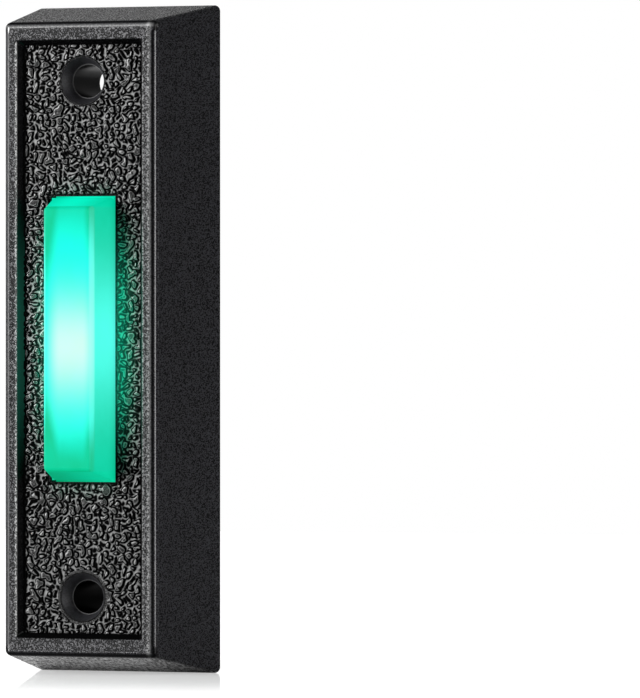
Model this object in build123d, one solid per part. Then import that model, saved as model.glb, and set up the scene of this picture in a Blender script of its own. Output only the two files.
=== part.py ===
"""Lighted doorbell push button for a door frame: a tapered moulded housing with a recessed panel, a
translucent push bar lit by one lamp, and a terminal base with the contacts behind it.

Millimetres. The wall is the plane Y = 0, the front faces -Y, X runs across the door frame and Z up it.
Heights are measured out of the wall, so a height h lies at Y = -h. The origin is the middle of the
wall face.
"""

import math
import os

from build123d import *

# Housing, outside
back_width = 22.8
back_height = 75.0
housing_depth = 12.9
side_lean = 2.15  # how far each outer side leans in between the wall and the rim
edge_radius = 0.7

# Housing, recessed panel and walls
rim_side_width = 1.57
rim_end_width = 1.98
recess_depth = 0.95
recess_draft = 0.52  # how far each recess wall leans in between the rim and the panel
recess_corner_radius = 0.45
recess_edge_bevel = 0.08
panel_thickness = 1.5
wall_thickness = 1.5
rib_thickness = 1.0

# Holes for the two wall screws
screw_spacing = 57.6
screw_hole_radius = 1.88
countersink_radius = 2.65
countersink_depth = 1.5
tube_wall = 1.4
upper_tube_end = 3.5  # the upper tube stops this far short of the wall
lower_tube_end = 0.4  # and the lower one closer to it

# Push bar
bar_width = 7.6
bar_length = 31.5
bar_face_width = 5.8
bar_face_length = 29.2
bar_rise = 4.12  # bar face above the panel
bar_wall = 1.2
bar_edge_radius = 0.45
bar_clearance = 0.2
bar_travel = 1.5
flange_reach = 1.1
flange_thickness = 1.0
guide_clearance = 0.15
guide_wall = 0.8
guide_height = 2.4

# Return springs
spring_from_bar_end = 3.05  # from the inside of the bar's end wall to the middle of a spring
spring_coil_radius = 1.8
spring_wire_radius = 0.2
spring_turns = 4.0
spring_steps = 10  # straight runs that make up one turn
spring_end_clearance = 0.05
spring_pin_radius = 1.2
spring_pin_length = 1.0
spring_web_length = 4.4
stop_clearance = 0.2
wire_sides = 6  # facets round the springs and the bent leads

# Terminal base
mechanism_depth = 4.5  # room between the panel and the terminal base
base_thickness = 1.6
base_clearance = 0.25
ledge_width = 1.2
ledge_length = 3.0
ledge_spacing = 20.0
boss_radius = 2.1
boss_offset = 6.3
boss_from_tube = 4.0
wire_rib_length = 6.0
wire_rib_height = 1.4
wire_rib_clearance = 0.3

# Screws that hold the terminal base
base_screw_radius = 0.9
base_screw_length = 5.6
base_screw_head_radius = 1.6
base_screw_head_height = 1.2
base_screw_clearance = 0.2
pilot_clearance = 0.05
pilot_end_room = 0.3

# Terminals
terminal_from_tube = 4.5
terminal_screw_radius = 1.45
terminal_screw_head_radius = 2.8
terminal_screw_head_height = 1.4
terminal_screw_clearance = 0.15
terminal_screw_tip = 0.3
washer_side = 6.2
washer_thickness = 0.6
driver_slot_width = 0.7
driver_slot_depth = 0.7

# Contact strips, contact points and the bridge
strip_thickness = 0.4
strip_width = 2.4
strip_clearance = 0.3
strip_pad_side = 6.4
strip_collar_wall = 0.85
strip_collar_height = 0.8
thread_clearance = 0.05
contact_offset = 3.3
contact_point_radius = 1.0
contact_closed_play = 0.03
bridge_thickness = 0.3
bridge_width = 2.8
bridge_end = 1.0  # bridge past the middle of each contact point
bridge_point_height = 0.5
stake_side = 1.0
stake_spacing = 2.6
stake_clearance = 0.05
stake_head_side = 1.6
stake_head_height = 0.35

# Lamp board
board_width = 8.8
board_thickness = 1.0
board_standoff = 0.5
board_spring_clearance = 0.3
board_lamp_margin = 1.3
standoff_side = 1.4
peg_side = 1.3
peg_clearance = 0.1
peg_offset = 3.0
peg_proud = 0.25
solder_tab_width = 1.5
solder_tab_clearance = 0.15
solder_tab_offset = 3.7
solder_tab_place = 1.6  # along the board from the lamp
solder_proud = 0.25

# Lamp, resistor and diode
lamp_radius = 1.5
lamp_flange_radius = 1.9
lamp_flange_height = 1.0
lamp_height = 5.3
lamp_dome_steps = 3  # cones that make up the round top
lamp_lead_side = 0.5
lamp_lead_pitch = 2.54
lead_hole_clearance = 0.15
axial_radius = 0.9
axial_waist_radius = 0.72
axial_length = 3.6
axial_cap_length = 0.9
axial_offset = 1.15
axial_lift = 0.05
axial_lead_radius = 0.25
axial_lead_pitch = 5.0
lead_trim = 0.1  # left between the cut lead ends and the terminal base

# Heights above the wall
panel_front = housing_depth - recess_depth
panel_back = panel_front - panel_thickness
base_front = panel_back - mechanism_depth
base_back = base_front - base_thickness
bar_front = panel_front + bar_rise
flange_back = panel_back - flange_thickness
spring_pin_end = flange_back - spring_pin_length
spring_post_end = spring_pin_end - bar_travel - stop_clearance
strip_top = base_front + strip_thickness
bridge_back = flange_back - bridge_thickness
bridge_point_end = bridge_back - bridge_point_height
fixed_point_end = bridge_point_end - bar_travel - contact_closed_play
board_back = base_front + board_standoff
board_front = board_back + board_thickness
lead_end = base_front + lead_trim
washer_back = base_back - washer_thickness
base_screw_end = base_back + base_screw_length
axial_axis = board_front + axial_radius + axial_lift

# Places across and along the door frame
front_width = back_width - 2 * side_lean
front_height = back_height - 2 * side_lean
tube_radius = screw_hole_radius + tube_wall
tube_place = screw_spacing / 2
terminal_place = tube_place - tube_radius - terminal_from_tube
boss_place = tube_place - tube_radius - boss_from_tube
base_width = back_width - 2 * (wall_thickness + side_lean * base_front / housing_depth + base_clearance)
ledge_inner_width = base_width - 2 * ledge_width
strip_offset = ledge_inner_width / 2 - strip_clearance - strip_width / 2
base_length = 2 * (tube_place - tube_radius - base_clearance)
flange_width = bar_width + 2 * flange_reach
flange_length = bar_length + 2 * flange_reach
spring_place = bar_length / 2 - bar_wall - spring_from_bar_end
spring_outer_radius = spring_coil_radius + spring_wire_radius
board_top = spring_place - spring_outer_radius - board_spring_clearance
board_bottom = -(lamp_flange_radius + board_lamp_margin)
bridge_place = -(spring_place - spring_outer_radius - board_bottom) / 2
axial_place = (lamp_flange_radius + board_top) / 2
pegs = [(peg_offset, board_bottom + standoff_side), (-peg_offset, axial_place)]
base_screw_places = [(boss_offset, boss_place), (-boss_offset, -boss_place)]


def level(height):
    """Sketch plane parallel to the wall, facing out of it."""
    return Plane.XZ.offset(height)


def slab(outline, low, high):
    """A flat outline, X across and Y up the door frame, carried from one height to another."""
    return extrude(level(low) * outline, high - low)


def block(width, length, low, high, x=0.0, z=0.0):
    """A rectangular slab."""
    return slab(Pos(x, z) * Rectangle(width, length), low, high)


def drum(radius, low, high, x=0.0, z=0.0):
    """A round slab."""
    return slab(Pos(x, z) * Circle(radius), low, high)


def frustum(width, length, low, high, end_width, end_length):
    """A block with flat leaning sides: where a wedge seen from above meets a wedge seen from the side."""
    above = Polyline(
        (-width / 2, -low),
        (width / 2, -low),
        (end_width / 2, -high),
        (-end_width / 2, -high),
        close=True,
    )
    side = Polyline(
        (-low, -length / 2),
        (-low, length / 2),
        (-high, end_length / 2),
        (-high, -end_length / 2),
        close=True,
    )
    across = extrude(Plane.XY * make_face(above), max(length, end_length), both=True)
    along = extrude(Plane.YZ * make_face(side), max(width, end_width), both=True)
    return across & along


def leaning_block(width, length, low, high):
    """A block that stands on the wall and keeps the housing's lean, cut between two heights."""
    shrink = 2 * side_lean / housing_depth
    return frustum(
        width - shrink * low,
        length - shrink * low,
        low,
        high,
        width - shrink * high,
        length - shrink * high,
    )


def edges_off_the_back(part):
    """The edges of a tapered block that run to its front or round it, all but those of its back face."""
    return part.edges() - part.faces().sort_by(Axis.Y)[-1].edges()


def both_sides(offset):
    """An offset to each side of the middle, the positive one first."""
    return (offset, -offset)


def cavity():
    """The hollow inside the housing, from the wall to the back of the panel."""
    return leaning_block(back_width - 2 * wall_thickness, back_height - 2 * wall_thickness, 0, panel_back)


def housing_outside():
    """The tapered block with its rounded corners and rim."""
    body = leaning_block(back_width, back_height, 0, housing_depth)
    return fillet(edges_off_the_back(body), edge_radius)


def recess():
    """The drafted pocket inside the rim, down to the panel."""
    mouth_width = front_width - 2 * rim_side_width
    mouth_height = front_height - 2 * rim_end_width
    pocket = frustum(
        mouth_width - 2 * recess_draft,
        mouth_height - 2 * recess_draft,
        panel_front,
        housing_depth,
        mouth_width,
        mouth_height,
    )
    corners = edges_off_the_back(pocket) - pocket.faces().sort_by(Axis.Y)[0].edges()
    return fillet(corners, recess_corner_radius)


def screw_tube(place, low):
    """One tube for a wall screw, with ribs to the side walls and the end wall."""
    outward = math.copysign(back_height / 2, place)
    tube = drum(tube_radius, low, panel_back, z=place)
    side_ribs = block(back_width, rib_thickness, low, panel_back, z=place)
    end_rib = block(rib_thickness, back_height / 2, low, panel_back, z=place + outward / 2)
    return tube + side_ribs + end_rib


def screw_hole(place):
    """The countersunk hole that runs down one tube."""
    hole = drum(screw_hole_radius, 0, housing_depth, z=place)
    profile = Polyline(
        (0, panel_front - countersink_depth),
        (screw_hole_radius, panel_front - countersink_depth),
        (countersink_radius, panel_front),
        (countersink_radius, housing_depth),
        (0, housing_depth),
        close=True,
    )
    cone = revolve(Plane.XY * make_face(profile), Axis.Y)
    return hole + Pos(0, 0, place) * cone.mirror(Plane.XZ)


def guide_collar():
    """The wall behind the panel that keeps the bar's flange in line."""
    inner_width = flange_width + 2 * guide_clearance
    inner_length = flange_length + 2 * guide_clearance
    low = panel_back - guide_height
    outer = block(inner_width + 2 * guide_wall, inner_length + 2 * guide_wall, low, panel_back)
    return outer - block(inner_width, inner_length, low, panel_back)


def housing():
    """The black moulded housing: tapered walls, rimmed panel, bar window, screw tubes and bosses."""
    hollow = cavity()
    inner = guide_collar()
    inner += screw_tube(tube_place, upper_tube_end)
    inner += screw_tube(-tube_place, lower_tube_end)
    for x, z in base_screw_places:
        inner += drum(boss_radius, base_front, panel_back, x, z)
    for z in both_sides(ledge_spacing / 2):
        ledge = block(back_width, ledge_length, base_front, panel_back, z=z)
        inner += ledge - block(ledge_inner_width, ledge_length, base_front, panel_back, z=z)
    body = housing_outside() - recess()
    mouth = body.faces().sort_by(Axis.Y)[0].inner_wires()[0].edges()
    body = chamfer(mouth, recess_edge_bevel)
    body = body - hollow + (inner & hollow)
    window_width = bar_width + 2 * bar_clearance
    window_length = bar_length + 2 * bar_clearance
    body -= block(window_width, window_length, panel_back, panel_front)
    for place in both_sides(tube_place):
        body -= screw_hole(place)
    for x, z in base_screw_places:
        body -= drum(base_screw_radius + pilot_clearance, base_front, base_screw_end + pilot_end_room, x, z)
    return body


def push_bar():
    """The translucent bar: a hollow tapered cap with a flange, spring pins and stakes for the bridge."""
    cap = frustum(bar_width, bar_length, panel_front, bar_front, bar_face_width, bar_face_length)
    cap = fillet(edges_off_the_back(cap), bar_edge_radius)
    skirt = block(bar_width, bar_length, flange_back, panel_front)
    flange = block(flange_width, flange_length, flange_back, panel_back)
    inner_width = bar_width - 2 * bar_wall
    inner_length = bar_length - 2 * bar_wall
    inside = block(inner_width, inner_length, flange_back, panel_front)
    inside += frustum(
        inner_width,
        inner_length,
        panel_front,
        bar_front - bar_wall,
        bar_face_width - 2 * bar_wall,
        bar_face_length - 2 * bar_wall,
    )
    bar = cap + skirt + flange - inside
    for place in both_sides(spring_place):
        bar += block(bar_width, spring_web_length, flange_back, panel_back, z=place)
        bar += drum(spring_pin_radius, spring_pin_end, flange_back, z=place)
    bar += block(bar_width, bridge_width, flange_back, panel_back, z=bridge_place)
    for x in both_sides(stake_spacing / 2):
        head_end = bridge_back - stake_head_height
        bar += block(stake_side, stake_side, bridge_back, flange_back, x, bridge_place)
        bar += block(stake_head_side, stake_head_side, head_end, bridge_back, x, bridge_place)
    return bar


def bridge_contact():
    """The springy strip staked across the bar, which joins the two contact strips when pressed."""
    bridge_length = 2 * (contact_offset + bridge_end)
    hole_side = stake_side + 2 * stake_clearance
    strip = block(bridge_length, bridge_width, bridge_back, flange_back, z=bridge_place)
    for x in both_sides(stake_spacing / 2):
        strip -= block(hole_side, hole_side, bridge_back, flange_back, x, bridge_place)
    return strip


def contact_points(low, high):
    """A pair of round contact points."""
    return [drum(contact_point_radius, low, high, x, bridge_place) for x in both_sides(contact_offset)]


def contact_strip(side):
    """One flat strip on the terminal base, from its terminal pad to its contact and solder tab.

    side is 1 for the strip of the upper terminal, which runs down the left, and -1 for the lower one.
    """
    x = -side * strip_offset
    pad = side * terminal_place
    end = min(bridge_place, solder_tab_place) if side > 0 else max(bridge_place, solder_tab_place)
    far_end = end - side * strip_width / 2
    contact_x = -side * contact_offset
    tab_x = -side * solder_tab_offset
    outline = Pos(0, pad) * Rectangle(strip_pad_side, strip_pad_side)
    outline += Pos(x / 2, pad) * Rectangle(abs(x) + strip_width, strip_width)
    outline += Pos(x, (pad + far_end) / 2) * Rectangle(strip_width, abs(pad - far_end))
    contact_end = contact_x + side * strip_width / 2
    outline += Pos((x + contact_end) / 2, bridge_place) * Rectangle(abs(x - contact_end), strip_width)
    ear_end = tab_x + side * strip_thickness / 2
    outline += Pos((x + ear_end) / 2, solder_tab_place) * Rectangle(abs(x - ear_end), solder_tab_width)
    strip = slab(outline, base_front, strip_top)
    hole_radius = terminal_screw_radius + thread_clearance
    collar_end = strip_top + strip_collar_height
    strip += drum(hole_radius + strip_collar_wall, base_front, collar_end, z=pad)
    strip -= drum(hole_radius, base_front, collar_end, z=pad)
    tab_end = board_front + solder_proud
    strip += block(strip_thickness, solder_tab_width, base_front, tab_end, tab_x, solder_tab_place)
    return strip


def coil_spring(place):
    """A round-wire compression spring between the terminal base and the bar."""
    low = base_front + spring_wire_radius + spring_end_clearance
    high = flange_back - spring_wire_radius - spring_end_clearance
    rise = high - low
    coil = Helix(rise / spring_turns, rise, spring_coil_radius)
    steps = round(spring_turns * spring_steps)
    path = Polyline(*[coil @ (step / steps) for step in range(steps + 1)])
    section = Plane(path @ 0, z_dir=path % 0) * RegularPolygon(spring_wire_radius, wire_sides)
    wire = sweep(section, path, transition=Transition.RIGHT)
    return level(low) * Pos(0, place) * wire


def terminal_base():
    """The moulded base that carries the strips, the board and the terminals."""
    base = block(base_width, base_length, base_back, base_front)
    for place in both_sides(spring_place):
        base += drum(spring_pin_radius, base_front, spring_post_end, z=place)
    pad_x = board_width / 2 - standoff_side / 2
    for x in both_sides(pad_x):
        for z in (board_bottom + standoff_side / 2, board_top - standoff_side / 2):
            base += block(standoff_side, standoff_side, base_front, board_back, x, z)
    for x, z in pegs:
        base += block(peg_side, peg_side, base_front, board_front + peg_proud, x, z)
    rib_x = washer_side / 2 + wire_rib_clearance + rib_thickness / 2
    for place in both_sides(terminal_place):
        for x in both_sides(rib_x):
            rib_low = base_back - wire_rib_height
            base += block(rib_thickness, wire_rib_length, rib_low, base_back, x, place)
        base -= drum(terminal_screw_radius + terminal_screw_clearance, base_back, base_front, z=place)
    for x, z in base_screw_places:
        base -= drum(base_screw_radius + base_screw_clearance, base_back, base_front, x, z)
    return base


def screw(radius, head_radius, head_height, head_low, tip, x, z):
    """A slotted cheese-head screw that points out of the wall."""
    head_high = head_low + head_height
    head = drum(head_radius, head_low, head_high, x, z)
    head -= block(2 * head_radius, driver_slot_width, head_low, head_low + driver_slot_depth, x, z)
    return head + drum(radius, head_high, tip, x, z)


def terminal_screws():
    """The two screws that clamp the bell wires and thread into the strips."""
    tip = strip_top + strip_collar_height + terminal_screw_tip
    head_low = washer_back - terminal_screw_head_height
    return [
        screw(
            terminal_screw_radius,
            terminal_screw_head_radius,
            terminal_screw_head_height,
            head_low,
            tip,
            0.0,
            place,
        )
        for place in both_sides(terminal_place)
    ]


def terminal_washers():
    """The two square clamp washers under the terminal screw heads."""
    hole_radius = terminal_screw_radius + terminal_screw_clearance
    return [
        block(washer_side, washer_side, washer_back, base_back, z=place)
        - drum(hole_radius, washer_back, base_back, z=place)
        for place in both_sides(terminal_place)
    ]


def base_screws():
    """The two tapping screws that hold the terminal base to the housing's bosses."""
    head_low = base_back - base_screw_head_height
    return [
        screw(
            base_screw_radius,
            base_screw_head_radius,
            base_screw_head_height,
            head_low,
            base_screw_end,
            x,
            z,
        )
        for x, z in base_screw_places
    ]


def lead_places():
    """Where the leads of the lamp and the two axial parts pass through the board."""
    lamp = [(x, 0.0) for x in both_sides(lamp_lead_pitch / 2)]
    axial = [
        (x, axial_place + z)
        for x in both_sides(axial_offset)
        for z in both_sides(axial_lead_pitch / 2)
    ]
    return lamp, axial


def lamp_board():
    """The small circuit board that carries the lamp, resistor and diode."""
    middle = (board_top + board_bottom) / 2
    board = block(board_width, board_top - board_bottom, board_back, board_front, z=middle)
    for x, z in pegs:
        hole_side = peg_side + 2 * peg_clearance
        board -= block(hole_side, hole_side, board_back, board_front, x, z)
    lamp, axial = lead_places()
    lead_holes = [(lamp_lead_side, *spot) for spot in lamp]
    lead_holes += [(2 * axial_lead_radius, *spot) for spot in axial]
    for lead, x, z in lead_holes:
        hole_side = lead + 2 * lead_hole_clearance
        board -= block(hole_side, hole_side, board_back, board_front, x, z)
    slot_width = strip_thickness + 2 * solder_tab_clearance
    slot_length = solder_tab_width + 2 * solder_tab_clearance
    for x in both_sides(solder_tab_offset):
        board -= block(slot_width, slot_length, board_back, board_front, x, solder_tab_place)
    return board


def lamp_lens():
    """The round-topped light-emitting diode, with its flange on the board."""
    top = CenterArc((0, lamp_height - lamp_radius), lamp_radius, 0, 90)
    profile = Polyline(
        (0, 0),
        (lamp_flange_radius, 0),
        (lamp_flange_radius, lamp_flange_height),
        (lamp_radius, lamp_flange_height),
        *[top @ (step / lamp_dome_steps) for step in range(lamp_dome_steps + 1)],
        close=True,
    )
    turned = revolve(make_face(profile), Axis.Y)
    return Pos(0, -board_front, 0) * turned.mirror(Plane.XZ)


def lamp_leads():
    """The lamp's two square legs, trimmed behind the board."""
    lamp, _ = lead_places()
    return [block(lamp_lead_side, lamp_lead_side, lead_end, board_front, x, z) for x, z in lamp]


def resistor_body():
    """A small dipped resistor, waisted between its two end caps."""
    half = axial_length / 2
    cap = half - axial_cap_length
    waist = cap - axial_radius + axial_waist_radius
    profile = Polyline(
        (0, -half),
        (axial_radius, -half),
        (axial_radius, -cap),
        (axial_waist_radius, -waist),
        (axial_waist_radius, waist),
        (axial_radius, cap),
        (axial_radius, half),
        (0, half),
        close=True,
    )
    turned = revolve(make_face(profile), Axis.Y)
    return level(axial_axis) * Pos(-axial_offset, axial_place) * turned


def diode_body():
    """The plain cylinder of the diode that guards the lamp."""
    profile = Pos(axial_radius / 2, 0) * Rectangle(axial_radius, axial_length)
    turned = revolve(profile, Axis.Y)
    return level(axial_axis) * Pos(axial_offset, axial_place) * turned


def axial_leads(x):
    """The two bent wires of a resistor or diode, from its ends down through the board."""
    wires = []
    for side in (1, -1):
        start = axial_place + side * axial_length / 2
        drop = axial_place + side * axial_lead_pitch / 2
        corners = [(x, -axial_axis, start), (x, -axial_axis, drop), (x, -lead_end, drop)]
        path = Polyline(*corners)
        section = Plane(path @ 0, z_dir=path % 0) * RegularPolygon(axial_lead_radius, wire_sides)
        wires.append(sweep(section, path, transition=Transition.RIGHT))
    return wires


def write(name, shape):
    """Writes one node, a single solid or a group of like solids."""
    solids = shape if isinstance(shape, list) else [shape]
    export_step(Compound(children=[s for part in solids for s in part.solids()]), f"parts/{name}.step")


def main():
    os.makedirs("parts", exist_ok=True)
    write("housing", housing())
    write("push_bar", push_bar())
    write("bridge_contact", bridge_contact())
    write("bridge_points", contact_points(bridge_point_end, bridge_back))
    write("fixed_points", contact_points(strip_top, fixed_point_end))
    write("upper_contact_strip", contact_strip(1))
    write("lower_contact_strip", contact_strip(-1))
    write("upper_return_spring", coil_spring(spring_place))
    write("lower_return_spring", coil_spring(-spring_place))
    write("terminal_base", terminal_base())
    write("terminal_screws", terminal_screws())
    write("terminal_washers", terminal_washers())
    write("base_screws", base_screws())
    write("lamp_board", lamp_board())
    write("lamp_lens", lamp_lens())
    write("lamp_leads", lamp_leads())
    write("resistor_body", resistor_body())
    write("resistor_leads", axial_leads(-axial_offset))
    write("diode_body", diode_body())
    write("diode_leads", axial_leads(axial_offset))


main()
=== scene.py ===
import math

import bpy
import numpy as np
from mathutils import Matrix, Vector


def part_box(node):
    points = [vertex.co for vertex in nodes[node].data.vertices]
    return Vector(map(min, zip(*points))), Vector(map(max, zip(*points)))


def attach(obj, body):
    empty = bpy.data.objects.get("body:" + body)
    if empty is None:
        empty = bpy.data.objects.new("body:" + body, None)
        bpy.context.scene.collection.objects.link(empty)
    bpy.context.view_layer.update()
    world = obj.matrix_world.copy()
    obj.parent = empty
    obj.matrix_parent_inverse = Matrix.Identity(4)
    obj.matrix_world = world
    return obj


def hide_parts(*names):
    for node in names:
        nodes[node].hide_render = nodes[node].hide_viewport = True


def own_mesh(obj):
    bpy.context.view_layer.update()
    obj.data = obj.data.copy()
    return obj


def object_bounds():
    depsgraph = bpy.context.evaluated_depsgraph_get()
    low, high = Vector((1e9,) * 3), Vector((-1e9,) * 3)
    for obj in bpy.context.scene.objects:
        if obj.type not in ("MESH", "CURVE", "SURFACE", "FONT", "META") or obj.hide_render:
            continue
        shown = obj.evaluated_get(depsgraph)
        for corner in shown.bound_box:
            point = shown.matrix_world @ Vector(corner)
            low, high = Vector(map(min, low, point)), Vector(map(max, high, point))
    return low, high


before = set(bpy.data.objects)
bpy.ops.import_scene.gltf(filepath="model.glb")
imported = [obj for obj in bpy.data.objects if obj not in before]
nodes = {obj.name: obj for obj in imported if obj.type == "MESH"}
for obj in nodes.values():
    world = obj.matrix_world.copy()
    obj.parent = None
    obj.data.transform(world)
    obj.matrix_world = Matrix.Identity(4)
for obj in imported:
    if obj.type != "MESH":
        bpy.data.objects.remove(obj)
cad_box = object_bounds()
mm = 0.001


# Housing: one moulded shell of black plastic, with rim, screw tubes, ribs and bosses in one shot.
# The mould is spark-eroded outside, which leaves a fine even grain with a soft sheen, and plain
# inside and in the two countersinks.


class Wire:
    """A socket in a material. Sums with wires and numbers add Math nodes, node() adds any other."""

    def __init__(self, tree, socket):
        self.tree = tree
        self.socket = socket

    def feed(self, node, sockets):
        """Gives each named socket of a node its value, or a link from another wire."""
        for name, value in sockets.items():
            if isinstance(value, Wire):
                self.tree.links.new(value.socket, node.inputs[name])
            else:
                node.inputs[name].default_value = value

    def node(self, kind, settings, sockets, out=0):
        """Adds a node of one type, its settings first, then its sockets, and gives one output."""
        made = self.tree.nodes.new("ShaderNode" + kind)
        for name, value in settings.items():
            setattr(made, name, value)
        self.feed(made, sockets)
        return Wire(self.tree, made.outputs[out])

    def maths(self, operation, *terms):
        """A Math node on these terms."""
        return self.node("Math", {"operation": operation}, dict(enumerate(terms)))

    def __add__(self, other):
        return self.maths("ADD", self, other)

    def __sub__(self, other):
        return self.maths("SUBTRACT", self, other)

    def __rsub__(self, other):
        return self.maths("SUBTRACT", other, self)

    def __mul__(self, other):
        return self.maths("MULTIPLY", self, other)

    def __truediv__(self, other):
        return self.maths("DIVIDE", self, other)

    def __pow__(self, power):
        return self.maths("POWER", self, power)

    def __abs__(self):
        return self.maths("ABSOLUTE", self)

    __radd__ = __add__
    __rmul__ = __mul__

    def most(self, other):
        """The larger of two values."""
        return self.maths("MAXIMUM", self, other)

    def axes(self):
        """The three numbers of a vector."""
        first = self.node("SeparateXYZ", {}, {"Vector": self})
        return [Wire(self.tree, socket) for socket in first.socket.node.outputs]

    def ease(self, low, high):
        """A soft step from 0 at low to 1 at high."""
        ends = {"Value": self, "From Min": low, "From Max": high}
        return self.node("MapRange", {"interpolation_type": "SMOOTHSTEP"}, ends)

    def mix(self, low, high):
        """A colour that goes from low, where this is 0, to high, where it is 1."""
        return self.node("Mix", {"data_type": "RGBA"}, {"Factor": self, 6: low, 7: high}, out=2)

    def bell(self, width):
        """A bell curve: 1 at 0, falling to both sides as exp of minus (value / width) squared."""
        ratio = self / width
        return self.maths("POWER", math.e, 0 - ratio * ratio)

    def noise(self, per_metre, detail=2.0):
        """Cloudy noise round 0.5, with so many blobs in a metre."""
        return self.node("TexNoise", {}, {"Vector": self, "Scale": per_metre, "Detail": detail})

    def streaks(self, lay, detail):
        """Noise that is drawn out. lay is how many blobs there are in a metre along X, Y and Z."""
        drawn = self.node("VectorMath", {"operation": "MULTIPLY"}, {0: self, 1: lay})
        return drawn.noise(1.0, detail)

    def bump(self, depth):
        """The surface normal, tilted as if this were a height of up to depth, in metres."""
        return self.node("Bump", {}, {"Strength": 1.0, "Distance": depth, "Height": self})

    def shade(self, sockets):
        """Feeds the material's Principled shader."""
        self.feed(self.tree.nodes["Principled BSDF"], sockets)

    def show(self, shader):
        """Makes a shader what the material shows."""
        self.feed(self.tree.nodes["Material Output"], {"Surface": shader})

    def darken(self, mask):
        """Paints shade: mixes the Principled shader with matt black, alone where the mask is 1."""
        lit = Wire(self.tree, self.tree.nodes["Principled BSDF"].outputs[0])
        dark = self.node("BsdfDiffuse", {}, {"Color": grey(0.002)})
        self.show(self.node("MixShader", {}, {0: mask, 1: lit, 2: dark}))


def finish(name, constants):
    """A material with one Principled shader, and the wire of its Object coordinates in metres."""
    material = bpy.data.materials.new(name)
    material.use_nodes = True
    tree = material.node_tree
    place = Wire(tree, tree.nodes.new("ShaderNodeTexCoord").outputs["Object"])
    place.shade(constants)
    return material, place


def dress(material, *names):
    """Gives CAD nodes their finish."""
    for name in names:
        nodes[name].material_slots[0].material = material


def grey(level, blue=0.0):
    """A neutral colour, or one that is a little bluer."""
    return (level, level, level * (1 + blue), 1.0)


def past(across, up, width, length):
    """How far a point is outside a rectangle: the larger of |x| - width/2 and |z| - length/2."""
    return (abs(across) - width / 2).most(abs(up) - length / 2)


def lit_share(up):
    """How much of the bar's light falls at a height: all beside its middle, none past its ends."""
    return 1 - (abs(up) / lit_length).ease(0.2, 1.05)


back_length = 75.0 * mm
side_slope = 1 / 6
shell_width = 19.9 * mm
shell_length = 72.1 * mm
panel_back = 10.45 * mm
panel_front = 11.95 * mm
rim_height = 12.9 * mm
rim_width = 17.2 * mm
rim_length = 69.4 * mm
rim_end = 34.0 * mm
recess_width = 15.36 * mm
recess_length = 66.74 * mm
recess_end = 33.0 * mm
hole_place = 28.8 * mm
countersink_radius = 2.65 * mm
countersink_foot = 10.45 * mm
blur = 0.05 * mm
lit_length = 15 * mm
lit_recess = (0.022, 0.19, 0.125, 1)
grain_low = grey(0.004, 0.3)
grain_high = grey(0.016, 0.3)
grain_depth = 0.06 * mm
grain_contrast = (0.41, 0.59)
grain_lay = (6500, 4000, 6500)
base_lay = (4500, 1000, 4500)
highlight_grey = grey(0.35)

housing_plastic, place = finish(
    "grained_black_plastic", {"Coat Roughness": 0.22, "Emission Strength": 1.0}
)
across, outward, up = place.axes()
height = 0 - outward

# Masks, 1 on one place of the moulding and 0 off it: which side, the holes, the hollow back, the
# recess, and the rim with its rounded edge and the sloping sides and ends.
at_right = across.ease(0, 1 * mm)
at_top = up.ease(rim_end, rim_end + 0.4 * mm)
at_foot = 1 - up.ease(-rim_end - 0.4 * mm, -rim_end)
away = at_right.most(at_top).most(at_foot)
from_hole = (across ** 2 + (abs(up) - hole_place) ** 2) ** 0.5
in_hole = 1 - from_hole.ease(countersink_radius - blur, countersink_radius + blur)
in_cone = in_hole * height.ease(countersink_foot - blur, countersink_foot + blur)
at_lip = in_hole * (height - countersink_foot).bell(0.1 * mm)
past_shell = past(across, up, shell_width, shell_length) + height * side_slope
in_shell = 1 - past_shell.ease(0, 0.1 * mm)
in_shell *= 1 - height.ease(panel_back, panel_back + 0.1 * mm)
past_recess = past(across, up, recess_width, recess_length)
in_recess = 1 - past_recess.ease(0, 0.04 * mm)
in_recess *= height.ease(panel_front - 0.1 * mm, panel_front)
past_rim = past(across, up, rim_width, rim_length)
on_rim = height.ease(rim_height - 0.1 * mm, rim_height - 0.02 * mm)
on_edge = past_rim.ease(0, 0.1 * mm)
on_edge *= height.ease(rim_height - 0.8 * mm, rim_height - 0.6 * mm)
on_side = 1 - height.ease(rim_height - 0.75 * mm, rim_height - 0.6 * mm)
past_end = abs(up) + height * side_slope - back_length / 2
on_end = on_side * past_end.ease(-0.2 * mm, -0.05 * mm)
at_base = on_end * at_foot
plain = in_hole.most(in_shell).most(in_recess)
smooth = plain.most(on_edge)

# The spark-eroded grain, painted highlights on the lips and in the countersinks, and the bar's
# light painted as emission in the recess.
side_grain = place.streaks(grain_lay, 1.0).ease(*grain_contrast)
base_grain = place.streaks(base_lay, 1.0).ease(*grain_contrast)
grain = (1 - at_base) * side_grain + at_base * base_grain
# In the recess the skin takes its darkest tone, painted shade on the recess's walls.
skin = (grain * (1 - 0.9 * in_recess)).mix(grain_low, grain_high)
# Painted highlights: lighter lines along the rim's inner and outer edges and at the countersinks'
# lips, faint ones in the countersinks and over the rim's grain.
inner_lip_highlight = (1.0 - 0.6 * at_right) * (past_recess - 0.12 * mm).bell(0.14 * mm)
inner_lip_highlight *= 1 - abs(up).ease(recess_end, recess_end + 0.3 * mm)
outer_lip_highlight = 0.45 * (across - rim_width / 2 + 0.12 * mm).bell(0.24 * mm)
outer_lip_highlight += 0.35 * (up - rim_length / 2 - 0.18 * mm).bell(0.22 * mm)
painted_highlight = 0.9 * at_lip + 0.03 * in_cone + on_rim * (inner_lip_highlight + 0.09 * grain)
painted_highlight += (1 - on_side) * outer_lip_highlight
# Painted light: the bar's green light, painted as emission in the recess and along the rim's inner
# edge at the right.
lit_lip = 0.65 * at_right * on_rim * (past_recess - 0.08 * mm).bell(0.12 * mm)
glow = in_recess.most(lit_lip) * lit_share(up)
polish = 1 - 0.45 * on_end.most(on_edge * away)
sheen = (0.38 + 0.12 * grain) * (1 - 0.7 * plain) * polish
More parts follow.
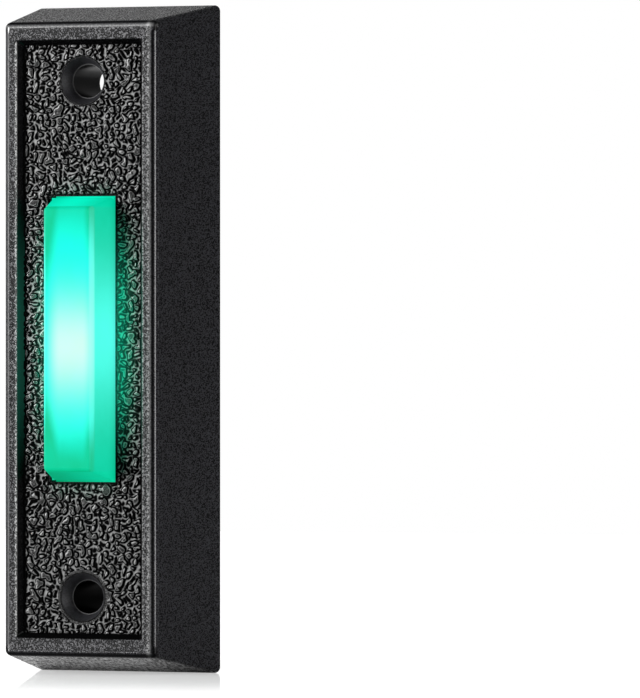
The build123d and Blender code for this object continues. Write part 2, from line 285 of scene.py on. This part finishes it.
place.shade({
    "Base Color": painted_highlight.mix(skin, highlight_grey),
    "Roughness": sheen + 0.3 * in_cone + 0.18 * in_shell,
    "Coat Weight": at_base * (0.7 + 0.3 * grain),
    "Emission Color": glow.mix(grey(0.0), lit_recess),
    "Normal": (grain * (1 - 0.97 * smooth)).bump(grain_depth),
})

# Painted shade, mixed in as matt black where little light comes: the pits of the grain, the bores,
# the recess's walls, and a line along the rounded edges that turn away from the lamps.
pits = (0.8 - 0.12 * on_side) * (1 - grain) * (1 - smooth)
in_bore = (in_hole - in_cone) * (0.45 + 0.45 * (1 - up.ease(-1 * mm, 1 * mm)))
in_shade = in_recess * (0.95 - 0.15 * up.ease(0.1 * mm - recess_end, 0.5 * mm - recess_end))
from_dark = past_rim - 0.33 * mm - 0.25 * mm * at_top - 0.16 * mm * at_foot
turned_away = on_edge * (0.4 + away * (from_dark.bell(0.16 * mm + 0.18 * mm * at_foot) - 0.4))
place.darken(pits.most(in_bore).most(in_shade).most(0.92 * turned_away))
dress(housing_plastic, "housing")


# Panel grain: the floor of the recess, moulded with the housing. Small irregular islands with steep
# sides stand a fifth of a millimetre proud, up to the countersinks and the bar's window.


def waves(rows, columns, step):
    """How many waves a metre holds, for each term of the Fourier transform of a grid."""
    return np.hypot(np.fft.fftfreq(rows, step)[:, None], np.fft.fftfreq(columns, step)[None, :])


def even_noise(rows, columns, step, length, seed):
    """Noise with blobs of one size: white noise, its waves kept by a bell curve round a length."""
    white = np.random.default_rng(seed).standard_normal((rows, columns))
    bell = np.exp(-(((waves(rows, columns, step) * length - 1) / 0.45) ** 2))
    kept = np.fft.ifft2(np.fft.fft2(white) * bell).real
    return kept / kept.std()


def soften(field, step, width):
    """A field blurred with a bell curve of the given width."""
    bell = np.exp(-2 * (np.pi * waves(*field.shape, step) * width) ** 2)
    return np.fft.ifft2(np.fft.fft2(field) * bell).real


def islands(x, z, spacing, joined, seed):
    """How deep each point lies in an island of a cell pattern, with some neighbouring cells joined.

    The cells grow from seeds on a jittered grid. The distance of p to the border between its own
    seed a and the nearest seed b of another island is (|p - b|^2 - |p - a|^2) / (2 |a - b|).
    """
    dice = np.random.default_rng(seed)
    reach = 2
    jitter = 0.42
    row = np.floor((z - z.min()) / spacing).astype(int) + reach
    column = np.floor((x - x.min()) / spacing).astype(int) + reach
    size = (row.max() + reach + 1, column.max() + reach + 1)
    owner = np.arange(size[0] * size[1]).reshape(size)
    join_left, join_below = dice.random((2, *size)) < joined
    owner[:, 1:] = np.where(join_left[:, 1:], owner[:, :-1], owner[:, 1:])
    owner[1:] = np.where(join_below[1:], owner[:-1], owner[1:])
    seed_z, seed_x = np.indices(size) + 0.5 + dice.uniform(-jitter, jitter, (2, *size))
    seed_z = z.min() + (seed_z - reach) * spacing
    seed_x = x.min() + (seed_x - reach) * spacing
    steps = range(-reach, reach + 1)
    near = [(row + above, column + beside) for above in steps for beside in steps]
    near_z, near_x, near_owner = (
        np.stack([value[spot] for spot in near]) for value in (seed_z, seed_x, owner)
    )
    square = (z - near_z) ** 2 + (x - near_x) ** 2
    own = square.argmin(axis=0)[None]
    foreign = near_owner != np.take_along_axis(near_owner, own, axis=0)
    other = np.where(foreign, square, np.inf).argmin(axis=0)[None]
    gap = [
        np.take_along_axis(value, other, axis=0) - np.take_along_axis(value, own, axis=0)
        for value in (square, near_z, near_x)
    ]
    return (gap[0] / (2 * np.hypot(gap[1], gap[2])))[0]


def soft_step(value, low, high):
    """0 below low, 1 above high, and a smooth s-curve between."""
    share = np.clip((value - low) / (high - low), 0, 1)
    return share * share * (3 - 2 * share)


def quads(number):
    """The four corners of each cell in a grid of numbered points, in turn round the cell."""
    return np.stack([number[:-1, :-1], number[:-1, 1:], number[1:, 1:], number[1:, :-1]], axis=-1)


def mesh_piece(name, points, faces, material, body):
    """A piece from points and faces that rides on a body, smooth but for edges over 40 degrees."""
    mesh = bpy.data.meshes.new(name)
    mesh.from_pydata(points.reshape(-1, 3).tolist(), [], faces)
    mesh.shade_smooth()
    mesh.set_sharp_from_angle(angle=math.radians(40))
    mesh.materials.append(material)
    piece = bpy.data.objects.new(name, mesh)
    bpy.context.scene.collection.objects.link(piece)
    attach(piece, body)
    return piece


panel_width = 14.45 * mm
panel_length = 65.83 * mm
panel_skin = 0.03 * mm
window_width = 8.0 * mm
window_length = 31.9 * mm
opening_gap = 0.02 * mm
grain_step = 0.087 * mm
warp = 0.09 * mm
warp_length = 1.3 * mm
island_spacing = 0.72 * mm
island_joined = 0.33
island_rounding = 0.07 * mm
island_gap = 0.15 * mm
island_height = 0.2 * mm
island_crown = 0.03 * mm
wall_width = 0.05 * mm
upper_ring = 0.10 * mm
lower_ring = 0.32 * mm
edge_sink = 0.35 * mm
wall_depths = (0.052 * mm, 0.122 * mm)
flat_depths = (0.125 * mm, 0.21 * mm)
left_shadow = 0.18 * mm
wall_shadow = (0.08 * mm, 0.24 * mm)
opening_shadow = (0.08 * mm, 0.2 * mm)
bar_shadow = (0.3 * mm, 0.6 * mm)
spill_reach = (-0.6 * mm, 3.6 * mm)
bar_light = (0.0, 0.66, 0.36, 1)

columns = round(panel_width / grain_step) + 1
rows = round(panel_length / grain_step) + 1
x, z = np.meshgrid(
    np.linspace(-panel_width / 2, panel_width / 2, columns),
    np.linspace(-panel_length / 2, panel_length / 2, rows),
)
warped = [
    line + warp * even_noise(rows, columns, grain_step, warp_length, seed)
    for line, seed in ((x, 3), (z, 4))
]
from_edge = islands(*warped, island_spacing, island_joined, seed=7)
from_edge = soften(from_edge, grain_step, island_rounding) - island_gap
from_window = np.maximum(abs(x) - window_width / 2, abs(z) - window_length / 2)
from_countersink = np.hypot(x, abs(z) - hole_place) - countersink_radius
from_opening = np.minimum(from_window, from_countersink)
ring = np.where(z > 0, upper_ring, lower_ring)
kept = soft_step(from_countersink, ring, ring + 0.1 * mm)
from_edge -= 0.5 * mm * (1 - kept)
island = soft_step(from_edge, -wall_width, wall_width)
proud = panel_skin + (island_height + island_crown * soft_step(from_edge, 0, 0.3 * mm)) * island
proud -= edge_sink * (1 - soft_step(from_opening, opening_gap, 0.14 * mm))

# Painted shade: a dark line where the panel meets the recess's walls, the countersinks and the bar,
# wider along the left wall and beside the bar.
from_wall = panel_width / 2 - np.maximum(x, left_shadow - x)
from_wall = np.minimum(from_wall, panel_length / 2 - abs(z))
beside_bar = np.maximum(abs(x) - window_width / 2, 1.4 * (abs(z) - window_length / 2))
contact = 1 - soft_step(from_wall, *wall_shadow) * soft_step(from_opening, *opening_shadow)
contact = np.maximum(contact, 1 - soft_step(beside_bar, *bar_shadow))

cells = quads(np.arange(rows * columns).reshape(rows, columns))
cells = cells[np.min(from_opening.ravel()[cells], axis=-1) > opening_gap]
used, faces = np.unique(cells, return_inverse=True)
faces = faces.reshape(-1, 4).tolist()
points = np.stack([x, -panel_front - proud, z], axis=-1).reshape(-1, 3)[used]

panel_plastic, place = finish(
    "panel_grain_plastic", {"Specular IOR Level": 0.5, "Emission Strength": 1.0}
)
depth = abs(place.node("Attribute", {"attribute_name": "depth"}, {}, out="Fac"))
in_contact_shade = place.node("Attribute", {"attribute_name": "contact"}, {}, out="Fac")
on_wall = 1 - depth.ease(*wall_depths)
on_flat = depth.ease(*flat_depths)
across, up = place.axes()[::2]
# Painted light: the bar's green light, painted as emission on the panel beside the window and a
# little past its ends.
from_bar = abs(across - 0.5 * mm) - window_width / 2
from_end = abs(up) - window_length / 2
past_ends = (1 - from_end.ease(-0.4 * mm, 2.4 * mm)) * (1 - abs(across).ease(2.5 * mm, 5 * mm))
painted_spill = (1 - from_bar.ease(*spill_reach)) * lit_share(up)
painted_spill = painted_spill.most(0.14 * past_ends)
fine = place.noise(6000).ease(0.3, 0.7)
# Painted highlight: the islands' sides take a lighter base colour than their flats; with the
# painted shade below on the steepest part of each side, this leaves a light line along each
# island's edge.
place.shade({
    "Base Color": on_flat.mix(grey(0.08), grey(0.012)),
    "Roughness": 0.28 + 0.10 * fine,
    "Emission Color": painted_spill.mix(grey(0.0), bar_light),
    "Normal": (fine * on_flat).bump(0.03 * mm),
})
# Painted shade: matt black on the steep island walls and along the contact line, partly over the
# flats, and less where the bar's painted light falls.
painted_shade = on_wall.most(in_contact_shade).most(on_flat * (0.52 + 0.3 * fine))
place.darken(painted_shade * (1 - 0.2 * painted_spill))
panel = mesh_piece("panel_grain", points, faces, panel_plastic, "housing")
for name, share in (("depth", from_edge), ("contact", contact)):
    attribute = panel.data.attributes.new(name, "FLOAT", "POINT")
    attribute.data.foreach_set("value", share.ravel()[used].astype(np.float32))


# Terminal base: a dark moulded plate that closes the middle of the back and carries the electrical
# parts. It drops on to ledges in the housing, and two screws hold it.

base_plastic, place = finish("base_moulding", {"Specular IOR Level": 0.45})
flow = place.streaks((900, 900, 130), 3.0)
fine = place.noise(3800)
place.shade({
    "Base Color": flow.ease(0.3, 0.7).mix(grey(0.048, 0.08), grey(0.066, 0.08)),
    "Roughness": 0.34 + 0.14 * flow,
    "Normal": (0.7 * fine + 0.3 * flow).bump(0.02 * mm),
})
dress(base_plastic, "terminal_base")


# Contact strips: two stampings of thin rolled brass laid on the terminal base, each from a threaded
# terminal collar to a contact and a solder tab that goes up through the lamp board.


def metal(name, bright, dull, roughness, lay):
    """Bare metal with fine marks along its lay, and soft patches where it has dulled.

    lay is how many marks there are in a metre along X, Y and Z.
    """
    material, place = finish(name, {"Metallic": 1.0})
    marks = place.streaks(lay, 3.0)
    patches = place.noise(420).ease(0.35, 0.7)
    place.shade({
        "Base Color": patches.mix((*bright, 1.0), (*dull, 1.0)),
        "Roughness": roughness + 0.18 * (marks - 0.5) + 0.08 * patches,
        "Normal": marks.bump(0.012 * mm),
    })
    return material


rolled_brass = metal(
    "rolled_brass", (0.83, 0.64, 0.30), (0.66, 0.47, 0.20), 0.30, lay=(4000, 4000, 260)
)
dress(rolled_brass, "upper_contact_strip", "lower_contact_strip")


# Fixed contact points: two silver rivets with low domes, pressed into the ends of the strips under
# the bridge.


def carried(path, along, start, radius, sides):
    """A round section carried along a path: a grid of points, a row for each point of the path.

    The section stands square to the unit vector along and starts at the unit vector start, so a
    point is path + radius * (start * cos + (along x start) * sin).
    """
    along = np.broadcast_to(along, path.shape)
    start = np.broadcast_to(start, path.shape)[:, None, :]
    turn = np.linspace(0, 2 * np.pi, sides, endpoint=False)[None, :, None]
    ring = start * np.cos(turn) + np.cross(along[:, None, :], start) * np.sin(turn)
    return path[:, None, :] + np.reshape(radius, (-1, 1, 1)) * ring


def turned(profile, spot, along, start, sides):
    """A turned shape: each (distance, radius) of the profile goes round the axis through spot."""
    distance, radius = np.array(profile, float).T
    path = spot + distance[:, None] * np.array(along, float)
    return carried(path, along, start, radius, sides)


def round_piece(name, grids, material, body):
    """A piece from one or more grids, each closed round its section and over its two ends."""
    faces = []
    first = 0
    for grid in grids:
        rows, columns = grid.shape[:2]
        number = first + np.arange(rows * columns).reshape(rows, columns)
        around = np.hstack([number, number[:, :1]])
        faces += quads(around).reshape(-1, 4).tolist()
        faces += [number[0, ::-1].tolist(), number[-1].tolist()]
        first += rows * columns
    points = np.vstack([grid.reshape(-1, 3) for grid in grids])
    return mesh_piece(name, points, faces, material, body)


out_of_wall = (0.0, -1.0, 0.0)
into_wall = (0.0, 1.0, 0.0)
sideways = (1.0, 0.0, 0.0)
upward = (0.0, 0.0, 1.0)
contact_offset = 3.3 * mm
contact_radius = 1.0 * mm
contact_dome = 0.12 * mm
contact_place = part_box("fixed_points")[0].z + contact_radius


def rivet(x, foot, top, along):
    """A contact rivet: a straight side, then a low dome that falls as the square of the radius."""
    share = np.linspace(1.0, 0.05, 8)
    dome = [(top - contact_dome * s * s, contact_radius * s) for s in share]
    spot = np.array([x, 0.0, contact_place])
    return turned([(foot, contact_radius), *dome], spot, along, sideways, sides=40)


silver = metal(
    "contact_silver_finish", (0.90, 0.89, 0.86), (0.72, 0.70, 0.66), 0.22, lay=(2600, 2600, 2600)
)
near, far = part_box("fixed_points")
grids = [rivet(side * contact_offset, -far.y, -near.y, out_of_wall) for side in (1, -1)]
fixed_points = round_piece("fixed_contact_rivets", grids, silver, "housing")
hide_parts("fixed_points")


# Lamp board: a small tan paper laminate, sawn to size, on standoffs and two pegs of the terminal
# base. Fine paper fibres show along its length.

board_laminate, place = finish("tan_laminate", {"Specular IOR Level": 0.4})
fibres = place.streaks((5200, 5200, 700), 4.0)
clouds = place.noise(500).ease(0.3, 0.7)
paper = (0.6 * fibres + 0.4 * clouds).mix((0.40, 0.25, 0.09, 1), (0.66, 0.49, 0.24, 1))
place.shade({
    "Base Color": paper,
    "Roughness": 0.42 + 0.2 * fibres,
    "Normal": fibres.bump(0.015 * mm),
})
dress(board_laminate, "lamp_board")


# Lamp: a light-emitting diode in tinted epoxy, cast with a flange at its foot and a round top, on
# two square tinned legs that are soldered through the board.

board_front = 7.45 * mm
lamp_radius = 1.5 * mm
lamp_flange_radius = 1.9 * mm
lamp_flange_height = 1.0 * mm
lamp_shoulder = 3.8 * mm
lamp_rounding = 0.08 * mm

lamp_epoxy, place = finish("lamp_epoxy_finish", {"Roughness": 0.08, "Emission Strength": 1.0})
outward = place.axes()[1]
lit = (0 - outward - board_front).ease(0.2 * mm, 3.4 * mm)
cloud = place.noise(900)
place.shade({
    "Base Color": cloud.mix((0.10, 0.50, 0.38, 1), (0.16, 0.62, 0.48, 1)),
    "Emission Color": lit.mix((0.0, 0.22, 0.13, 1), (0.55, 1.0, 0.85, 1)),
})
top = np.linspace(0, np.radians(88), 14)
profile = [
    (0, lamp_flange_radius - lamp_rounding),
    (lamp_rounding, lamp_flange_radius),
    (lamp_flange_height - lamp_rounding, lamp_flange_radius),
    (lamp_flange_height, lamp_flange_radius - lamp_rounding),
    (lamp_flange_height, lamp_radius),
    *zip(lamp_shoulder + lamp_radius * np.sin(top), lamp_radius * np.cos(top)),
]
spot = np.array([0, -board_front, 0])
grid = turned(profile, spot, out_of_wall, sideways, sides=48)
lamp = round_piece("lamp_body", [grid], lamp_epoxy, "housing")
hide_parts("lamp_lens")

tinned = metal(
    "tinned_copper", (0.78, 0.78, 0.76), (0.60, 0.60, 0.59), 0.28, lay=(3000, 500, 3000)
)
dress(tinned, "lamp_leads")


# Resistor and diode: two small axial parts lying on the board, the resistor dipped in tan enamel
# with colour bands over its end caps, the diode moulded in black epoxy with one pale band. Their
# tinned wires are bent down through the board.

axial_offset = 1.15 * mm
axial_place = 5.55 * mm
axial_height = 8.4 * mm
axial_length = 3.6 * mm
axial_radius = 0.9 * mm
axial_waist = 0.72 * mm
wire_radius = 0.25 * mm
wire_pitch = 5.0 * mm
wire_bend = 0.55 * mm
wire_end = 6.05 * mm
case_rounding = 0.1 * mm
band_blur = 0.04 * mm
resistor_bands = [
    (-1.35 * mm, -1.0 * mm, (0.24, 0.10, 0.03, 1)),
    (-0.65 * mm, -0.35 * mm, (0.02, 0.02, 0.02, 1)),
    (-0.1 * mm, 0.2 * mm, (0.55, 0.03, 0.02, 1)),
    (0.85 * mm, 1.2 * mm, (0.62, 0.42, 0.10, 1)),
]


def bent_wires(x):
    """The wires of an axial part: out of its ends, round a quarter circle, through the board."""
    turn = np.concatenate([[0], np.linspace(0, np.pi / 2, 9), [np.pi / 2]])
    reach = wire_pitch / 2 - wire_bend * (1 - np.sin(turn))
    drop = axial_height - wire_bend * (1 - np.cos(turn))
    reach[0] = axial_length / 2 - 0.1 * mm
    drop[-1] = wire_end
    grids = []
    for side in (1, -1):
        path = np.stack([np.full(turn.size, x), -drop, axial_place + side * reach], axis=-1)
        along = np.stack([np.zeros(turn.size), np.sin(turn), side * np.cos(turn)], axis=-1)
        grids.append(carried(path, along, sideways, wire_radius, sides=16))
    return grids


def band(place, low, high):
    """1 between two distances from the middle of an axial part, 0 elsewhere."""
    along = place.axes()[2] - axial_place
    return along.ease(low, low + band_blur) * (1 - along.ease(high - band_blur, high))


resistor_enamel, place = finish("resistor_enamel", {"Roughness": 0.22, "Coat Weight": 0.3})
colour = place.noise(1400).mix((0.52, 0.36, 0.18, 1), (0.66, 0.49, 0.28, 1))
for low, high, paint in resistor_bands:
    colour = band(place, low, high).mix(colour, paint)
place.shade({"Base Color": colour})
share = np.linspace(-0.998, 0.998, 41)
girth = axial_waist + (axial_radius - axial_waist) * soft_step(abs(share), 0.3, 0.62)
girth *= np.sqrt(1 - np.clip((abs(share) - 0.72) / 0.28, 0, 1) ** 2)
profile = np.stack([share * axial_length / 2, girth], axis=-1)
spot = np.array([-axial_offset, -axial_height, axial_place])
grid = turned(profile, spot, upward, sideways, sides=36)
resistor = round_piece("resistor_dip", [grid], resistor_enamel, "housing")
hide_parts("resistor_body")
grids = bent_wires(-axial_offset)
resistor_wires = round_piece("resistor_wires", grids, tinned, "housing")
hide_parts("resistor_leads")

diode_epoxy, place = finish("diode_epoxy_finish", {"Specular IOR Level": 0.5})
clouds = place.noise(1800)
place.shade({
    "Base Color": band(place, 0.95 * mm, 1.5 * mm).mix(grey(0.02), grey(0.55)),
    "Roughness": 0.30 + 0.15 * clouds,
})
profile = [
    (-axial_length / 2, axial_radius - case_rounding),
    (-axial_length / 2 + case_rounding, axial_radius),
    (axial_length / 2 - case_rounding, axial_radius),
    (axial_length / 2, axial_radius - case_rounding),
]
spot = np.array([axial_offset, -axial_height, axial_place])
grid = turned(profile, spot, upward, sideways, sides=36)
diode = round_piece("diode_case", [grid], diode_epoxy, "housing")
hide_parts("diode_body")
grids = bent_wires(axial_offset)
diode_wires = round_piece("diode_wires", grids, tinned, "housing")
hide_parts("diode_leads")


# Return springs: two coils of bright round steel wire with closed end turns, over pins on the
# terminal base and the bar. On the real button they shorten as the bar goes in; here they are fixed
# coils on the housing.

spring_place = 11.5 * mm
coil_radius = 1.8 * mm
coil_wire = 0.2 * mm
coil_turns = 4
coil_low = 6.2 * mm
coil_high = 9.2 * mm
steps_per_turn = 40

bright_wire = metal(
    "bright_spring_wire", (0.70, 0.71, 0.72), (0.52, 0.52, 0.53), 0.24, lay=(2400, 2400, 2400)
)


def coil(middle):
    """A helix whose rise is slow in the end turns: t - 0.7 sin(2 pi t) / (2 pi) at share t."""
    share = np.linspace(0, 1, coil_turns * steps_per_turn + 1)
    turn = 2 * np.pi * coil_turns * share
    risen = share - 0.7 * np.sin(2 * np.pi * share) / (2 * np.pi)
    rise = coil_low + (coil_high - coil_low) * risen
    radial = np.stack([np.cos(turn), np.zeros(turn.size), np.sin(turn)], axis=-1)
    path = coil_radius * radial + np.stack([0 * rise, -rise, middle + 0 * rise], axis=-1)
    along = np.gradient(path, axis=0)
    along /= np.linalg.norm(along, axis=1, keepdims=True)
    return carried(path, along, radial, coil_wire, sides=14)


for name, side in (("upper_return_spring", 1), ("lower_return_spring", -1)):
    grid = coil(side * spring_place)
    spring = round_piece(name + "_coil", [grid], bright_wire, "housing")
    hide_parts(name)
    side * spring_place
    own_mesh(spring)


# Bridge: a springy strip of phosphor bronze staked across the back of the bar, with a silver rivet
# at each end that meets the fixed contacts when the bar is pressed.

phosphor_bronze = metal(
    "phosphor_bronze", (0.76, 0.47, 0.29), (0.58, 0.33, 0.19), 0.28, lay=(260, 4000, 4000)
)
dress(phosphor_bronze, "bridge_contact")
near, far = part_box("bridge_points")
grids = [rivet(side * contact_offset, near.y, far.y, into_wall) for side in (1, -1)]
bridge_points = round_piece("bridge_rivets", grids, silver, "push_bar")
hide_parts("bridge_points")


# Push bar: a hollow cap moulded in translucent blue-green plastic with a satin face. The light of
# the lamp behind its middle is painted on as emission: a pale core, thinning out and turning
# greener towards the ends, lighter and darker painted tones on its sides and ends, and a painted
# highlight along its front edges.

bar_front = 16.07 * mm
bar_bevel = 14.5 * mm
core_offset = 0.5 * mm
core_drop = 0.9 * mm
core_length = 4.9 * mm
core_sides = (1.3 * mm, 3.3 * mm)
face_fade = (9.1 * mm, 15.2 * mm)
shine_place = 2 * mm
shine_length = 9.5 * mm
core_light = (0.64, 0.90, 0.76, 1)
edge_light = (0.45, 1.0, 0.95, 1)
face_light = ((0.004, 0.86, 0.69, 1), (0.0, 0.41, 0.17, 1))
side_light = ((0.002, 0.50, 0.27, 1), (0.085, 0.90, 0.76, 1))
upper_light = ((0.0, 0.50, 0.27, 1), (0.0, 0.80, 0.50, 1))
lower_light = ((0.002, 0.34, 0.15, 1), (0.002, 0.53, 0.28, 1))

bar_plastic, place = finish(
    "lit_bar_plastic", {"Specular IOR Level": 0.02, "Emission Strength": 1.0}
)
across, outward, up = place.axes()
height = 0 - outward
from_glow = up + core_drop
at_side = abs(across - core_offset).ease(*core_sides)
edge = abs(across).ease(2.55 * mm, 2.85 * mm)
edge *= height.ease(bar_front - 0.9 * mm, bar_front - 0.45 * mm)
off_core = at_side * (1 - 0.7 * edge)
at_end = (abs(from_glow) - 0.14 * from_glow + 5.5 * mm * off_core).ease(*face_fade)
core = from_glow.bell(core_length) * (1 - 0.9 * at_side)
face = core.mix(at_end.mix(*face_light), core_light)
side = (up - 0.3 * mm).bell(8 * mm).mix(*side_light)
# Painted light and shade on the ends: the upper end lighter, the lower end darker, most at its
# left.
upper_end = (across + 0.4 * mm).bell(3 * mm).mix(*upper_light)
lower_end = across.ease(-3 * mm, 3.5 * mm).mix(*lower_light)
ends = up.ease(-1 * mm, 1 * mm).mix(lower_end, upper_end)
side = abs(up).ease(bar_bevel, bar_bevel + 0.4 * mm).mix(side, ends)
on_face = height.ease(bar_front - 0.75 * mm, bar_front - 0.25 * mm)
colour = on_face.most(0.8 * edge).mix(side, face)
# Painted highlight: a paler emission line along the front edges, strongest a little above the
# middle.
painted_edge_highlight = 0.42 * edge * (up - shine_place).bell(shine_length)
haze = place.noise(420).ease(0.25, 0.75)
place.shade({
    "Base Color": haze.mix((0.002, 0.15, 0.10, 1), (0.003, 0.18, 0.13, 1)),
    "Emission Color": painted_edge_highlight.mix(colour, edge_light),
    "Roughness": 0.45 + 0.08 * haze,
    "Normal": place.noise(2600).bump(0.006 * mm),
})
dress(bar_plastic, "push_bar")


# Terminal and base screws: slotted cheese-head screws, the terminals turned in brass over square
# zinc-plated clamp washers, the two base screws zinc-plated steel.

turned_brass = metal(
    "turned_brass", (0.82, 0.66, 0.36), (0.66, 0.50, 0.24), 0.26, lay=(2800, 900, 2800)
)
zinc_plate = metal(
    "zinc_plate", (0.74, 0.75, 0.75), (0.56, 0.58, 0.60), 0.30, lay=(2200, 2200, 2200)
)
dress(turned_brass, "terminal_screws")
dress(zinc_plate, "terminal_washers", "base_screws")


# Room: a white floor that is glossy round the object, a white surround, a strong soft lamp at the
# left, and weaker ones at the right and the back, so that the right side of the object stays dark.

floor_level = cad_box[0].z
floor_left, floor_right = -0.7, 0.1
floor_front, floor_back = -0.7, 0.6
floor_shine = 0.5
shine_reach = (0.038, 0.085)
floor_lift = 0.84
white_front = (-0.020, -0.012)
white_right = (0.001, 0.012)
line_front, line_back = -0.005, 0.004


def seen_white(tree):
    """The rays that show the white surround, 1 or 0 each: of the camera, of gloss and of glass."""
    rays = tree.nodes.new("ShaderNodeLightPath").outputs
    kinds = ("Is Camera Ray", "Is Glossy Ray", "Is Transmission Ray")
    return [Wire(tree, rays[kind]) for kind in kinds]


floor_finish, place = finish("white_floor", {})
camera_ray, gloss_ray, glass_ray = seen_white(place.tree)
from_middle = place.node("VectorMath", {"operation": "LENGTH"}, {0: place}, out="Value")
mirror = floor_shine * (1 - from_middle.ease(*shine_reach))

# Gloss sees the floor white only under the object and behind its left part, with a darker line
# along the wall plane.
right, back = place.axes()[:2]
under = (1 - right.ease(*white_right)) * back.ease(*white_front)
under *= 1 - 0.8 * back.ease(line_front, 0.0) * (1 - back.ease(0.0, line_back))
shown = camera_ray.most(glass_ray).most(gloss_ray * under)
white = shown.mix(grey(0.0), grey(1.0))
lift = place.node("Emission", {}, {"Color": white, "Strength": floor_lift})
matt = place.node("BsdfDiffuse", {}, {"Color": grey(0.85)})
pale = place.node("AddShader", {}, {0: matt, 1: lift})
gloss = place.node("BsdfGlossy", {}, {"Color": grey(1.0), "Roughness": 0.03})
place.show(place.node("MixShader", {}, {0: mirror, 1: pale, 2: gloss}))
corners = [
    (floor_left, floor_front, floor_level),
    (floor_right, floor_front, floor_level),
    (floor_right, floor_back, floor_level),
    (floor_left, floor_back, floor_level),
]
mesh = bpy.data.meshes.new("floor")
mesh.from_pydata(corners, [], [(0, 1, 2, 3)])
mesh.materials.append(floor_finish)
floor = bpy.data.objects.new("floor", mesh)
bpy.context.scene.collection.objects.link(floor)

world = bpy.data.worlds.new("white_surround")
world.use_nodes = True
bpy.context.scene.world = world
tree = world.node_tree
camera_ray, gloss_ray, glass_ray = seen_white(tree)
toward = Wire(tree, tree.nodes.new("ShaderNodeTexCoord").outputs["Generated"])
right, back, up = toward.axes()

# Gloss sees the surround brightest at the back, level with the object, and dark at the right.
level = 0.2 + 0.8 * (1 - abs(up).ease(0.06, 0.41)) * back.ease(0.2, 0.5)
in_gloss = level * gloss_ray * (1 - right.ease(0.0, 0.35))
white = camera_ray.most(glass_ray).most(in_gloss).mix(grey(0.06), grey(1.0))
toward.feed(tree.nodes["Background"], {"Color": white, "Strength": 1.0})


def softbox(name, spot, width, length, watts):
    """A soft rectangular lamp that faces the object."""
    lamp = bpy.data.lights.new(name, "AREA")
    lamp.shape = "RECTANGLE"
    lamp.size = width
    lamp.size_y = length
    lamp.energy = watts
    holder = bpy.data.objects.new(name, lamp)
    holder.location = spot
    holder.rotation_euler = (-holder.location).to_track_quat("-Z", "Y").to_euler()
    bpy.context.scene.collection.objects.link(holder)


softbox("left_softbox", (-0.694, -0.827, 0.10), width=0.36, length=0.5, watts=22.0)
softbox("right_strip", (0.785, -0.153, 0.15), width=0.28, length=0.6, watts=5.0)
softbox("back_softbox", (-0.75, 0.65, 0.15), width=0.6, length=0.6, watts=3.0)


# Camera: level with the middle of the object and 25 degrees round to its right, at the distance
# that gives the same narrowing of the far side. Its lens and turns are in pixels of the picture.

azimuth = math.radians(25.04)
distance = 0.901
focal_pixels = 7979
pixels_right = 191.8
pixels_down = 9.9
picture_height = 698
sensor_height = 36

turned_right = math.atan(pixels_right / focal_pixels)
turned_down = math.atan(pixels_down / focal_pixels)
lens = bpy.data.cameras.new("camera")
lens.lens = sensor_height * focal_pixels / picture_height
lens.clip_start = 0.01
camera = bpy.data.objects.new("camera", lens)
camera.location = (distance * math.sin(azimuth), -distance * math.cos(azimuth), 0)
camera.rotation_euler = (math.pi / 2 - turned_down, 0, azimuth - turned_right)
bpy.context.scene.collection.objects.link(camera)
bpy.context.scene.camera = camera
bpy.context.scene.view_settings.view_transform = "Standard"
